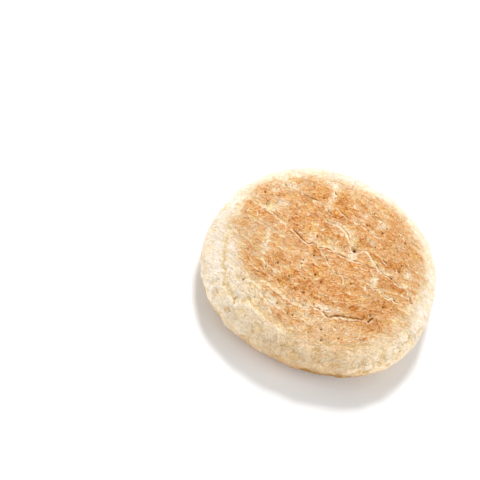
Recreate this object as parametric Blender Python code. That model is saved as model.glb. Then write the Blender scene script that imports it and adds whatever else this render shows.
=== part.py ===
"""A round griddle bread, whole and uncut: a thick disc with a full soft rim, a flat foot, and a top skin that baked into
overlapping folds with shallow hollows beside them. Blender units are metres, +Z is up. The bread lies on its foot, with
the origin under its middle. Every size below is in millimetres and becomes metres where the mesh is made."""

import bpy
import numpy as np

MM = 0.001

# Driving dimensions.
RADIUS = 57.5           # mean radius at the widest level
THICKNESS = 25.5        # foot to the middle of the top
WIDEST_LEVEL = 11.0     # height of the widest level above the foot
UNDERSIDE_DEPTH = 13.0  # how far the underside would reach below the widest level if the foot did not cut it flat

# Roundness of the side profile: the exponents of r ** across + z ** up = 1, above and below the widest level.
TOP_ACROSS, TOP_UP = 3.64, 2.5
LOW_ACROSS, LOW_UP = 4.0, 2.35

# The outline is a circle that a hand has pressed: (number of lobes, swell, direction of one lobe in degrees).
OUTLINE_LOBES = ((2, 0.38, 90.0), (3, 0.67, -34.0), (4, 0.83, 43.0), (5, 0.30, 31.0))

# Mesh spacing, along and across the rings, on the skin that shows and near the foot.
SPACING = 2.0
FOOT_SPACING = 3.2
FOOT_CALM = 4.0         # unevenness dies away over this height down to the flat foot

# Broad unevenness of the dough: (distance from swell to swell, height, seed).
SWELLS = ((34.0, 0.45, 11), (15.0, 0.25, 12))
RIM_DENTS = (11.0, 0.2, 13)
DISH_DEPTH = 0.5        # the middle of the top sank a little as it cooled
DISH_RADIUS = 34.0

# A fold is a lip of skin that stands over the hollow beside it. Its route has the high side on its right.
FOLD_SOFTNESS = 1.1     # half the width of the step from hollow to lip
LIP_REACH = 5.5         # how far the swell behind a lip carries
HOLLOW_REACH = 4.5      # how far the hollow in front of it carries
HOLLOW_SHARE = 0.9      # depth of that hollow, as a share of the lip's height
FADE = 5.0              # a fold dies away over this length at both ends
ROUTE_STEP = 1.2        # spacing of the points read from a fold's smooth route

# (height of the lip, points that its route passes)
FOLDS = (
    (1.0, ((-23, -30.5), (-17, -31.5), (-11, -33.5), (-6, -34.8), (1, -34.5), (6, -33.1), (11, -34.9), (17, -31.9),
           (25, -29), (30, -28.2), (33, -23))),
    (0.9, ((-23, 5.5), (-18, 2.7), (-10, -0.4), (-4, 0.3), (-1, 1.4), (4, 0.9), (10, 0.1), (15, 1.0), (19.5, 1.8),
           (25, 0.6), (32, 0.9), (40, -0.6))),
    (1.0, ((-9, 17), (0, 16.6), (5.5, 13.3), (8.5, 9.6), (11, 6.5), (15, 8.8), (19, 8), (25, 3.6))),
    (0.8, ((-46, 13), (-40, 11.8), (-36, 10.8), (-30, 7.8), (-25, 5.6))),
    (0.5, ((-42, 3.2), (-38, 0.7), (-31, -0.4), (-26, -2), (-19, -3))),
    (0.7, ((-25, 28.8), (-20, 26.6), (-14, 26.8), (-9, 25), (-6, 22), (-3, 20.5))),
    (0.6, ((-6, 28), (-2, 26), (2, 23.8), (7, 23), (12, 24.4), (15, 21))),
    (0.5, ((-5, -0.5), (-1, -3.5), (2, -7), (8, -10.6), (12, -12), (16, -15.5), (18, -19))),
    (0.5, ((19, -11), (25, -8.6), (29, -9), (33, -11.4), (40, -10.6))),
    (0.6, ((45, -14), (46, -22), (44, -28), (39, -33))),
    (0.6, ((-47.5, -7), (-47, -13), (-45.5, -20), (-43, -28))),
    (0.6, ((-33, -40), (-31.3, -44), (-29, -48.5))),
)

# (middle x, middle y, half length, half width, direction in degrees, depth)
HOLLOWS = (
    (11.0, 8.5, 4.0, 3.2, 90.0, 1.5),
    (11.5, 3.5, 3.5, 2.5, 90.0, 0.5),
    (19.0, 5.0, 5.0, 2.8, -20.0, 0.6),
    (-3.0, 4.5, 9.0, 3.5, 0.0, 0.7),
    (31.0, 4.0, 6.0, 3.0, 0.0, 0.8),
    (-37.5, 13.5, 4.5, 2.6, 0.0, 0.8),
    (-25.0, 8.5, 4.0, 2.6, 0.0, 0.6),
    (25.3, -5.0, 4.0, 2.2, 90.0, 0.6),
    (-28.0, 31.0, 7.0, 5.0, 20.0, 0.5),
    (-7.0, 40.0, 6.0, 4.0, -20.0, 0.5),
)

CRUST_COLOUR = (0.66, 0.38, 0.17, 1.0)
CRUST_ROUGHNESS = 0.75


def grid_random(cell, seed):
    """A repeatable random number from -1 to 1 for each whole-number grid point (rows of x, y, z)."""
    mixed = cell[:, 0] * 73856093 ^ cell[:, 1] * 19349663 ^ cell[:, 2] * 83492791 ^ seed * 2654435761
    mixed = (mixed ^ mixed >> 13) * 1274126177 & 0xFFFFFFFF
    mixed = (mixed ^ mixed >> 15) * 2246822519 & 0xFFFFFFFF
    return (mixed ^ mixed >> 16) / 0x7FFFFFFF - 1.0


def noise(points, seed):
    """Smooth noise, mostly within -1 to 1, whose features are about one unit across."""
    cell = np.floor(points).astype(np.int64)
    part = points - cell
    ease = part * part * part * (part * (part * 6.0 - 15.0) + 10.0)
    total = np.zeros(len(points))
    for corner in np.ndindex(2, 2, 2):
        corner = np.array(corner)
        weight = np.prod(np.where(corner, ease, 1.0 - ease), axis=1)
        slope = sum(grid_random(cell + corner, seed + axis) * (part - corner)[:, axis] for axis in range(3))
        total += weight * slope
    return total * 1.5


def outline_radius(angle):
    """Radius of the widest level in a direction, in radians from +X."""
    radius = np.full(np.shape(angle), RADIUS)
    for lobes, swell, direction in OUTLINE_LOBES:
        radius = radius + swell * np.cos(lobes * (angle - np.radians(direction)))
    return radius


def meridian(count=2000):
    """The side profile from the middle of the top to the edge of the foot: shares of the radius, and heights."""
    across = np.sin(np.linspace(0.0, np.pi / 2, count))
    top = WIDEST_LEVEL + (THICKNESS - WIDEST_LEVEL) * (1.0 - across ** TOP_ACROSS) ** (1.0 / TOP_UP)
    low = WIDEST_LEVEL - UNDERSIDE_DEPTH * (1.0 - across ** LOW_ACROSS) ** (1.0 / LOW_UP)
    share = np.concatenate([across, across[-2::-1]])
    height = np.concatenate([top, low[-2::-1]])
    above_floor = height >= 0.0
    return share[above_floor], height[above_floor]


def rings():
    """The rings of the skin, from the top's middle out and down to the foot: (share of the radius, height, count)."""
    share, height = meridian()
    run = np.concatenate([[0.0], np.cumsum(np.hypot(np.diff(share) * RADIUS, np.diff(height)))])
    made = []
    at = 0.0
    while at < run[-1] - 0.4 * SPACING:
        ring_share, ring_height = np.interp(at, run, share), np.interp(at, run, height)
        low = ring_share < 0.97 and ring_height < WIDEST_LEVEL
        step = FOOT_SPACING if low else SPACING
        made.append((ring_share, ring_height, max(1, round(2 * np.pi * RADIUS * ring_share / step))))
        at += step * np.sqrt(0.75)
    made.append((share[-1], 0.0, round(2 * np.pi * RADIUS * share[-1] / FOOT_SPACING)))
    return made


def smooth_route(points):
    """Points at about ROUTE_STEP along a smooth curve that passes through the given ones (Catmull-Rom)."""
    corner = np.array(points, float)
    corner = np.vstack([2 * corner[0] - corner[1], corner, 2 * corner[-1] - corner[-2]])
    made = []
    for a, b, c, d in zip(corner, corner[1:], corner[2:], corner[3:]):
        steps = max(2, round(np.linalg.norm(c - b) / ROUTE_STEP))
        t = np.arange(steps)[:, None] / steps
        made.append(0.5 * (2 * b + (c - a) * t + (2 * a - 5 * b + 4 * c - d) * t ** 2
                           + (3 * b - a - 3 * c + d) * t ** 3))
    return np.vstack(made + [corner[-2]])


def beside_route(place, route):
    """For each place, its distance from the route, above zero on the right, and how far along the route it is."""
    start, step = route[:-1], np.diff(route, axis=0)
    length = np.linalg.norm(step, axis=1)
    apart = place[:, None, :] - start
    along = np.clip((apart * step).sum(2) / length ** 2, 0.0, 1.0)
    gap = np.linalg.norm(apart - along[:, :, None] * step, axis=2)
    nearest = gap.argmin(1)
    row = np.arange(len(place))
    turn = step[nearest, 0] * apart[row, nearest, 1] - step[nearest, 1] * apart[row, nearest, 0]
    travelled = np.concatenate([[0.0], np.cumsum(length)])
    where = travelled[nearest] + along[row, nearest] * length[nearest]
    return np.where(turn > 0, -1.0, 1.0) * gap[row, nearest], where, travelled[-1]


def fold_height(place, lift, points):
    """What one fold adds to the surface: a lip on the right of its route and a hollow on the left."""
    side, along, length = beside_route(place, smooth_route(points))
    lip = lift * np.exp(-np.abs(side) / LIP_REACH)
    hollow = -lift * HOLLOW_SHARE * np.exp(-np.abs(side) / HOLLOW_REACH)
    blend = 0.5 + 0.5 * np.tanh(side / FOLD_SOFTNESS)
    fade = np.clip(np.minimum(along, length - along) / FADE, 0.0, 1.0)
    return (hollow + (lip - hollow) * blend) * fade * fade * (3.0 - 2.0 * fade)


def hollow_height(place, x, y, half_length, half_width, direction, depth):
    """What one long shallow hollow adds to the surface."""
    turn = np.radians(direction)
    apart = place - (x, y)
    along = apart @ (np.cos(turn), np.sin(turn)) / half_length
    across = apart @ (-np.sin(turn), np.cos(turn)) / half_width
    return -depth * np.exp(-along ** 2 - across ** 2)


def relief(point, share):
    """Height of the skin over the plain form at each point of a ring, which has this share of the radius."""
    place = point[:, :2]
    height = sum(size * noise(point / wave, seed) for wave, size, seed in SWELLS)
    wave, size, seed = RIM_DENTS
    rim = np.clip((share - 0.75) / 0.2, 0.0, 1.0)
    height = height + rim * size * noise(point / wave, seed)
    height = height - DISH_DEPTH * np.exp(-(np.hypot(*place.T) / DISH_RADIUS) ** 2)
    top = point[:, 2] > WIDEST_LEVEL
    for lift, points in FOLDS:
        height = height + top * fold_height(place, lift, points)
    for hollow in HOLLOWS:
        height = height + top * hollow_height(place, *hollow)
    return height * np.clip(point[:, 2] / FOOT_CALM, 0.0, 1.0)


def plain_normal(share, height):
    """Outward direction of the side profile at a ring, as (across, up)."""
    if height >= WIDEST_LEVEL:
        up = ((height - WIDEST_LEVEL) / (THICKNESS - WIDEST_LEVEL)) ** (TOP_UP - 1) * TOP_UP
        up /= THICKNESS - WIDEST_LEVEL
        across = TOP_ACROSS * share ** (TOP_ACROSS - 1) / RADIUS
    else:
        up = -((WIDEST_LEVEL - height) / UNDERSIDE_DEPTH) ** (LOW_UP - 1) * LOW_UP / UNDERSIDE_DEPTH
        across = LOW_ACROSS * share ** (LOW_ACROSS - 1) / RADIUS
    return np.array([across, up]) / np.hypot(across, up)


def skin_points(made_rings):
    """Every ring's points with the relief on them, and each ring's angles. Every other ring is turned half a step."""
    points, angles = [], []
    for number, (share, height, count) in enumerate(made_rings):
        angle = 2 * np.pi * (np.arange(count) + 0.5 * (number % 2)) / count
        radius = share * outline_radius(angle)
        ring = np.stack([radius * np.cos(angle), radius * np.sin(angle), np.full(count, height)], 1)
        across, up = plain_normal(share, height)
        outward = np.stack([across * np.cos(angle), across * np.sin(angle), np.full(count, up)], 1)
        points.append(ring + relief(ring, share)[:, None] * outward)
        angles.append(angle)
    return points, angles


def stitch(first, first_angles, second, second_angles):
    """Triangles between two rings, the first one inside or above the second. first and second are point numbers."""
    faces = []
    i = j = 0
    while i < len(first) or j < len(second):
        next_first = first_angles[i + 1] if i + 1 < len(first) else first_angles[0] + 2 * np.pi
        next_second = second_angles[j + 1] if j + 1 < len(second) else second_angles[0] + 2 * np.pi
        a, b = first[i % len(first)], second[j % len(second)]
        if j >= len(second) or i < len(first) and next_first <= next_second:
            faces.append((a, b, first[(i + 1) % len(first)]))
            i += 1
        else:
            faces.append((a, b, second[(j + 1) % len(second)]))
            j += 1
    return faces


def bread_mesh():
    """The closed skin: points in metres, centred over the origin, and faces that point out."""
    points, angles = skin_points(rings())
    numbers, count = [], 0
    for ring in points:
        numbers.append(list(range(count, count + len(ring))))
        count += len(ring)
    middle, first_ring = numbers[0][0], numbers[1]
    faces = [(middle, a, b) for a, b in zip(first_ring, first_ring[1:] + first_ring[:1])]
    for k in range(1, len(numbers) - 1):
        faces += stitch(numbers[k], angles[k], numbers[k + 1], angles[k + 1])
    faces.append(tuple(reversed(numbers[-1])))
    place = np.vstack(points)
    place[:, :2] -= (place[:, :2].min(0) + place[:, :2].max(0)) / 2
    return place * MM, faces


def crust_material():
    material = bpy.data.materials.new("crust")
    material.use_nodes = True
    shader = material.node_tree.nodes["Principled BSDF"]
    shader.inputs["Base Color"].default_value = CRUST_COLOUR
    shader.inputs["Roughness"].default_value = CRUST_ROUGHNESS
    shader.inputs["Metallic"].default_value = 0.0
    return material


def main():
    for old in list(bpy.data.objects):
        bpy.data.objects.remove(old)
    points, faces = bread_mesh()
    mesh = bpy.data.meshes.new("flatbread")
    mesh.from_pydata(points.tolist(), [], faces)
    mesh.materials.append(crust_material())
    mesh.shade_smooth()
    bread = bpy.data.objects.new("flatbread", mesh)
    bpy.context.scene.collection.objects.link(bread)


main()
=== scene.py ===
"""The looks of the griddle bread: its baked skin as a fine mesh with folds, flakes, wrinkles and pores, a
crust that is browned where it met the griddle and floury round the rim, with painted shade in its creases,
pores and hollows and painted highlights on its fold edges, a pale floor, soft light, and the photograph's
view. Shapes are worked out in millimetres and become metres where the mesh is made."""

import math

import bpy
import numpy as np
from mathutils import Matrix, Vector

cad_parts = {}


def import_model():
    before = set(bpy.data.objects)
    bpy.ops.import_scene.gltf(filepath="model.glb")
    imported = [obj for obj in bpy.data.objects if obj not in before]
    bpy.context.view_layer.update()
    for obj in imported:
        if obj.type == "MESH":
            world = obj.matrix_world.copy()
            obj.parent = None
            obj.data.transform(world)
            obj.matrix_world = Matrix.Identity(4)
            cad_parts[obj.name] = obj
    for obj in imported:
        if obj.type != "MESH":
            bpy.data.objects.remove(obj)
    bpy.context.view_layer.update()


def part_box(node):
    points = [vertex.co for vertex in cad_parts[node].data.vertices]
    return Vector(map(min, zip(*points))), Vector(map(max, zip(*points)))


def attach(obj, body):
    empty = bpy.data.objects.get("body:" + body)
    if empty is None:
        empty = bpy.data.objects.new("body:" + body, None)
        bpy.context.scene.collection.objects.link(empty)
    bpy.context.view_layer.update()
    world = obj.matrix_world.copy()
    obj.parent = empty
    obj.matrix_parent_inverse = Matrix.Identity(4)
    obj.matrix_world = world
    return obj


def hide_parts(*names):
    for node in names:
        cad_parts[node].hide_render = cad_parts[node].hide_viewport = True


MM = 0.001
NODE = "flatbread"

# ------------ the plain form, as the CAD solid has it
RADIUS = 57.5           # mean radius at the widest level
AXIS = (0.368, -0.961)  # where the form's axis stands: its outline is then centred on the frame
THICKNESS = 25.5        # foot to the middle of the top
WIDEST_LEVEL = 11.0     # height of the widest level above the foot
UNDERSIDE_DEPTH = 13.0  # from the widest level to the underside, if the foot did not cut it flat
TOP_ACROSS, TOP_UP = 3.64, 2.5      # powers of the side profile above the widest level
LOW_ACROSS, LOW_UP = 4.0, 2.35      # and below it
# The outline's lobes: (how many, swelling, direction in degrees)
OUTLINE_LOBES = ((2, 0.38, 90.0), (3, 0.67, -34.0), (4, 0.83, 43.0), (5, 0.30, 31.0))
FOOT_CALM = 4.0         # unevenness dies away over this distance, down to the flat foot and out to its edge
# Noises are given as (wavelength, height, seed).
SWELLS = ((34.0, 0.45, 11), (15.0, 0.25, 12))
RIM_DENTS = ((11.0, 0.2, 13),)
RIM_SHARE = (0.75, 0.95)        # the rim's dents begin between these shares of the radius
FACE_SHARE = (0.80, 0.92)       # and the face's flakes end between these
DISH_DEPTH, DISH_RADIUS = 0.5, 34.0     # the middle of the top is a little sunk

# ------------ mesh spacing, by height on the skin
TOP_SPACING = 0.435
LOW_RIM_SPACING = 0.62
LOW_RIM_LEVEL = 3.5     # the low rim is what lies between this height and the widest level
FOOT_SPACING = 1.3
EVEN_TRIANGLE = np.sqrt(0.75)           # height of an even triangle, as a share of its side

# ------------ folds, read off the photograph
# A fold is a lip of skin that stands over the hollow beside it. Its route has the high side on its right.
LIP_REACH = 5.5
HOLLOW_REACH = 4.5
HOLLOW_SHARE = 0.9              # depth of the hollow, as a share of the lip's height
FOLD_REACH = 3.5                # how far a fold is worked out, as a multiple of the lip's reach
ROUTE_STEP = 0.6
WOBBLES = ((2.8, 0.42, 21), (1.3, 0.30, 25))    # sideways waver of every route: (wavelength, width, seed)
# A fold's pale edge, paler skin with a painted highlight where the lip catches the light, and its dark
# crease, painted shade in the hollow behind the lip: where they lie beside the step, how wide they are, how
# much is shown.
LINE_WIDTH = 0.28
EDGE_PLACE, EDGE_SPREAD = 0.45, 0.28            # the edge lies on the lip, and is wider on a tall fold
CREASE_PLACE, CREASE_SPREAD = 0.2, 0.32         # the crease lies in the hollow, and is wider too
CREASE_SHIFT = 0.9                              # and further off where the lip would hide it
# Painted highlight: the lip's high side is paler near its edge, where it catches the light.
SHOULDER_HIGHLIGHT, SHOULDER_HIGHLIGHT_REACH = 0.42, 1.1            # the lip's high side is paler near the edge
SHOWN_WAVES = ((1.9, 1.0, 28), (5.0, 0.5, 29))  # the noise that breaks both lines off here and there
EDGE_SHOWN, CREASE_SHOWN = (-0.9, 0.3), (-0.9, 0.2)
TALL_EDGE_SHOWN = 0.6                           # a tall fold's edge is never shown less than this
LEAST_SHOWN, LIFT_SHOWN = 0.15, 1.6             # strength of both lines on a flat fold, and what height adds
CREASE_SHADE_STRENGTH, TALL_CREASE_SHADE_STRENGTH = 0.62, 0.3
SHARP_STEP = 0.3                                # a softer step than this has a fainter crease
# The high side is browner along a line at this distance, of this width, and the low side is less brown.
PLATE_TONE, PLATE_LINE = 0.06, (3.5, 2.5)
VALLEY_TONE, VALLEY_REACH = 0.16, 2.6

# (height of the lip, half width of the step, fade at the ends, points that the route passes)
FOLDS = (
    # The long fold near the front.
    (0.75, 0.85, 4.0, ((-23, -30.5), (-17, -31.5), (-11, -33.5), (-9.5, -34.6), (-4, -35), (1, -34.5),
                       (5, -33.4), (8, -33.8))),
    (1.0, 0.30, 3.0, ((1, -34.7), (5, -33.1), (8, -33.4), (11.5, -35), (16, -32.3), (20.5, -30.8),
                      (25, -29), (27, -28.2), (29.8, -28.2), (31.0, -25.6), (32.2, -23.6), (33.6, -22.2))),
    (0.22, 0.30, 1.5, ((29.6, -28.4), (32, -28.2), (34.3, -28.8), (34, -30), (34.9, -31.6))),
    (0.4, 0.25, 1.2, ((7.6, -32.9), (9, -32), (10.5, -31.2), (12, -31), (13, -32))),
    # The long ridge across the middle.
    (0.9, 0.28, 2.5, ((-21.5, 5.2), (-18, 2.7), (-14, 0.9), (-10, -0.5), (-8, 0.9), (-6, 0.9), (-4.1, 0.1),
                      (-2.6, 1.5), (0, 1.5), (4, 0.9), (10, 0.1))),
    (0.6, 0.30, 2.5, ((9, 0.2), (12, 0.8), (15, 1.0), (19.5, 1.8), (23.8, 0.8))),
    (0.6, 0.22, 1.5, ((-3.9, -0.8), (-2.5, -2.2), (-1, -3.5), (0.3, -4.8), (1.5, -6.3))),
    (0.35, 0.25, 1.2, ((-8.6, 8), (-8, 5.5), (-7.7, 3), (-7.5, 1.2))),
    # The lip round the deep dimple.
    (0.7, 0.40, 3.0, ((-9, 17), (-4, 16.3), (0, 16.6), (4, 14.8), (7, 11.8), (8.5, 9.6), (9.8, 7),
                      (11, 6.3), (12.6, 6.8), (15, 8.9), (17.5, 9), (20.5, 6.6), (23.5, 4.5), (26, 3.2))),
    (0.5, 0.30, 2.0, ((22, 5.2), (24, 3.8), (26.5, 1.6), (29, 0.9), (31, 1.4), (32.8, 0.4), (36, -0.8),
                      (40, -0.7), (41.4, -1.5))),
    (0.4, 0.25, 1.2, ((21, 0.6), (23, -1.1), (24.6, -2.6))),
    (0.5, 0.30, 2.0, ((23.6, 10.3), (25.5, 8.8), (27, 7.6), (29.5, 7.7))),
    (0.4, 0.30, 1.5, ((36, 15.6), (37.3, 14), (38.7, 12.5), (39.1, 10.4))),
    # Left side.
    (0.8, 0.40, 2.5, ((-46, 13.4), (-43, 12.6), (-40, 11.8), (-36.5, 11), (-35, 9.8), (-30, 7.8),
                      (-26, 6.1))),
    (0.4, 0.35, 2.5, ((-42.5, 3.6), (-40.2, 1.2), (-36.5, 0.9), (-33, 0), (-29, -1.4), (-25, -1.9),
                      (-21.5, -2.8), (-18, -3))),
    (0.3, 0.25, 1.5, ((-37, 2.6), (-34.8, 1.9), (-33, 1.9))),
    (0.3, 0.25, 1.5, ((-27, -0.4), (-24, -1.2), (-20, -1.5), (-17.5, -1))),
    # Flakes behind the middle.
    (0.6, 0.25, 1.5, ((-24.4, 28.6), (-22.5, 27.6), (-20.5, 26.7), (-17.5, 26.4), (-14.5, 26.6),
                      (-12, 25.9), (-9.2, 25.4))),
    (0.5, 0.25, 1.5, ((-8.9, 25.2), (-8.5, 23.7), (-7.4, 22.8), (-5.5, 21.9), (-4, 21.3), (-3, 20.2))),
    (0.6, 0.25, 1.5, ((-6, 28), (-4, 27.1), (-2.5, 26), (-0.5, 24.9), (1, 23.8), (3, 23.4))),
    (0.3, 0.25, 1.5, ((-24.5, 29.4), (-22, 28.8), (-19.8, 28.3))),
    (0.45, 0.25, 1.5, ((4.6, 25.8), (5.4, 23.8), (7.5, 22.7), (9, 24.2), (11.5, 24.3), (13.2, 23),
                       (15, 20.8))),
    (0.4, 0.25, 1.5, ((13.8, 19.2), (15.3, 16.6), (17, 15.5), (19.4, 14.6))),
    (0.4, 0.25, 1.5, ((-10.2, 39.5), (-9, 37), (-7.6, 35), (-6.4, 32.2))),
    (0.35, 0.25, 1.5, ((-14.4, 45), (-13, 43), (-11.2, 40.8))),
    (0.45, 0.25, 1.5, ((27, 28.6), (29.9, 29), (31.2, 27), (32.6, 25.3))),
    (0.35, 0.25, 1.5, ((14.6, 39), (16, 37.1), (18, 36.4), (20.5, 35.4))),
    (0.35, 0.25, 1.5, ((10, 32), (14, 31.9), (16.5, 31.3), (18.4, 30.1))),
    (0.30, 0.25, 1.5, ((30.3, 23.6), (32.6, 23.3), (35, 22.4), (37.4, 22.3))),
    (0.30, 0.25, 1.5, ((2.2, 35.2), (3.8, 33.8), (4.4, 32.2), (7.5, 30.8))),
    # In front of the middle.
    (0.4, 0.25, 1.5, ((5, -10.4), (8, -10.6), (9.9, -9.8), (12, -11.5), (12.8, -13.7), (15.6, -14.9),
                      (17.3, -17.3), (18.2, -19))),
    (0.35, 0.25, 1.2, ((18.6, -11.4), (20.5, -10.9), (22.3, -9.8))),
    (0.45, 0.25, 1.5, ((22.3, -9.6), (25.3, -8.5), (26.6, -9.4), (28.5, -8.1), (30, -10.3), (33, -11.1),
                       (35.5, -10), (37.5, -10.8), (40.5, -10))),
    (0.35, 0.22, 1.0, ((27, -16.6), (28.5, -14.5), (30.2, -12.9))),
    (0.3, 0.22, 0.8, ((26.5, -17.8), (27.5, -18.2), (28.4, -17.7))),
    (0.5, 0.22, 1.2, ((41.7, -0.6), (42.2, -2.5), (42.4, -4.9))),
    (0.5, 0.22, 1.2, ((46.8, -5), (45, -5.4), (44.5, -3.6), (44.2, -1.8))),
    (0.3, 0.25, 1.5, ((-13.8, -9.4), (-13.7, -12.5), (-13.1, -15.4), (-11, -16.7), (-7.5, -16.4))),
    (0.3, 0.22, 1.0, ((-5.2, -9.4), (-4, -8.9), (-1.5, -9.5))),
    (0.45, 0.22, 1.2, ((-27.3, -17.9), (-26, -18.8), (-24.9, -20.4), (-23.7, -22.2))),
    (0.35, 0.22, 1.0, ((-33, -16.2), (-31.3, -17.1), (-30.6, -18.4))),
    (0.35, 0.22, 1.0, ((-30.2, -6.6), (-29.6, -9), (-28.9, -10.5))),
    (0.4, 0.22, 1.2, ((-13.2, -19.8), (-12.5, -21.8), (-12.1, -23.8), (-10.8, -26.5))),
    (0.35, 0.25, 1.5, ((-31, -23.4), (-29.4, -24.3), (-27, -25.2), (-24.6, -26.2))),
    (0.35, 0.30, 2.0, ((1.5, -23.9), (5, -24), (8.5, -24), (11, -25), (14.5, -23.5), (17, -22.3))),
    (0.35, 0.25, 1.5, ((-31.5, -32.6), (-27, -32.3), (-24, -33.3), (-21.5, -33))),
    (0.3, 0.30, 1.5, ((-22, -36.2), (-19, -37.8), (-15.5, -40.2), (-10, -40.3), (-6, -41))),
    (0.3, 0.30, 1.5, ((-4, -40.6), (0, -40.6), (3.5, -40.7))),
    (0.35, 0.30, 1.5, ((14.4, -37.4), (16.2, -38.4), (18.5, -38.8))),
    (0.35, 0.35, 1.5, ((12.6, -41.9), (14.2, -42.2), (15.1, -43.2), (15, -45))),
    # Round the rim.
    (0.5, 0.60, 4.0, ((-47.8, -4.5), (-47.6, -7.5), (-47.3, -11.5), (-46.4, -15.5), (-45.3, -20),
                      (-44, -25.5), (-42, -29.5))),
    (0.4, 0.35, 1.5, ((-42.6, -29), (-41.4, -30), (-40, -31.6))),
    (0.4, 0.35, 1.5, ((-39.1, -29.5), (-38.4, -32.3), (-37.4, -33.6))),
    (0.3, 0.30, 1.2, ((-39.4, -36.6), (-38.8, -38.6), (-38.4, -39.4))),
    (0.7, 0.40, 1.8, ((-32, -41), (-31.4, -43.5), (-30.6, -46))),
    (0.45, 0.35, 1.5, ((-28.9, -41.3), (-28.1, -43), (-26.6, -44.7))),
    (0.4, 0.40, 2.0, ((-34.5, -46), (-32, -47.9), (-29.5, -49.2))),
    (0.4, 0.40, 2.0, ((-42.4, -37.8), (-41.2, -40.4), (-38.4, -43))),
    (0.35, 0.30, 1.5, ((32.2, -33.6), (32.8, -35), (33.6, -36.6))),
    (0.5, 0.35, 1.2, ((49.2, -20.4), (50, -22), (49.6, -23.6), (48.8, -24.6))),
    (0.5, 0.35, 1.2, ((48.8, -23.8), (48.2, -26), (47.2, -27.6))),
    (0.4, 0.35, 1.2, ((52.8, -12.8), (52.6, -15.4), (51.8, -17.2))),
    (0.4, 0.35, 1.2, ((46.2, -35.4), (45.2, -37.4), (44.2, -38.8))),
    (0.5, 0.35, 1.2, ((39, -43.6), (37.4, -45.2), (35.6, -46.2))),
    (0.4, 0.35, 1.2, ((35.4, -46.6), (33.4, -48.2), (31.4, -49.2))),
)

# Small folds that lie along the grain where the rule scatters them.
SMALL_FOLDS = (150, 33)                 # (how many, seed)
SMALL_FOLD_LENGTH = (1.8, 5.5)          # shortest, longest
SMALL_FOLD_LIFT = (0.10, 0.30)          # lowest, highest
SMALL_FOLD_REACH = 42.0                 # furthest from the middle
SMALL_FOLD_TURN = 0.5                   # how far one may turn from the grain, in radians
SMALL_FOLD_BEND, SMALL_FOLD_BOW = 0.16, 0.10    # by chance and always, as shares of its length
SMALL_FOLD_STEP, SMALL_FOLD_FADE = 0.24, 0.35   # half width of its step, and fade as a share of length

# ------------ hollows, pores and grooves, read off the photograph
# An oval is (middle x, middle y, half length, half width, change, direction in degrees if it has one).
# Here the change is a depth.
HOLLOWS = (
    (11.2, 10, 4.2, 3.2, 1.6, 90),
    (11.2, 8.8, 1.8, 1.1, 0.5),
    (11.5, 3.5, 3.5, 2.5, 0.5, 90),
    (19, 5, 5, 2.8, 0.9, -20),
    (-2, 4.5, 9, 3, 1.1),
    (31, 4, 6, 3, 0.8),
    (32.3, 1.5, 1.3, 0.8, 1, -25),
    (-37.5, 13.5, 4.5, 2.6, 0.8),
    (-36.4, 13.4, 1.4, 1, 0.4, 60),
    (-25, 8.5, 4, 2.6, 0.6),
    (-26.6, 7.4, 1.3, 0.7, 0.5, -30),
    (25.3, -5, 4, 2.2, 0.9, 90),
    (-28, 31, 7, 5, 0.5, 20),
    (-7, 40, 6, 4, 0.5, -20),
    (30.6, -26.6, 1.6, 0.7, 0.7, 65),
    (25, 9.4, 1.6, 0.7, 0.5, -40),
    (-29, -3.4, 3.2, 1.6, 0.4),
    (24.6, -1.4, 0.8, 0.7, 0.5),
)

# Pores that show one by one: (radius, their middles)
PORES = (
    (0.75, ((11.2, 8.7),)),
    (0.60, ((32.4, 2.2), (-1.3, -14.8))),
    (0.55, ((-39.4, 21),)),
    (0.52, ((15.5, -11.5), (33.5, -16.2), (12, 25), (20.2, 24.3))),
    (0.50, ((-6, -3), (-5.5, -5.1), (-18.7, 8.1), (-21.1, 26.9), (-19.6, -16.8), (-12.3, -21.7),
            (34.5, 7.2), (8.3, 35.2), (32.2, 25.5), (-1.3, 25.6))),
    (0.48, ((-9.3, -9.9), (2.5, -18))),
    (0.45, ((-9.3, -12.1), (-7.8, 6.9), (-17.8, 26.2), (-35, -16))),
    (0.44, ((9.2, 42), (29.6, -23.2), (11, -41.5), (19.8, -41.7), (-12.3, 30.6), (2.5, -27.3),
            (-6.8, -27.5))),
    (0.42, ((-36.4, 14.2), (-2.7, -13.3), (-21, 14), (-32.7, 21.3), (-23.9, -21.9), (-12.2, -23.6),
            (-26.2, -26.1), (-30.8, -32.6), (37.5, -15.5), (34.5, 10.8), (23.8, 16.2), (19.7, 14.7),
            (13.3, 34.2), (5.3, 27.7), (26.8, 23.2), (45.7, 6), (-8, 36.5), (18, 30.4), (21.5, 28.3),
            (-23, 8.8), (37.3, -9.5), (19.4, -24.5), (-12.2, -38), (12.8, -45.8), (-3.8, 21.7),
            (-16, -26))),
    (0.40, ((-8.4, -14.5), (-26.4, 34), (-18.7, 35.7), (-5.2, -19.4), (3.4, -30.5), (-6, -40.8),
            (-3.5, -40.6), (-3.2, -27.2))),
    (0.38, ((7.7, -14), (-15.6, 9.3), (-17.4, 30.1))),
    (0.36, ((-31.9, 30.3), (-20.4, -17.6), (-20.5, -22.8), (0, 29.2))),
    (0.35, ((2.4, -20.6),)),
)
# Ovals of smoother skin, and how much smoother each is.
CALM_SKIN = (
    (10, -39.5, 26, 5.5, 0.75, 6),    # in front of the long front fold
    (42, -25, 11, 9, 0.70, 55),    # front right
)
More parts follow.
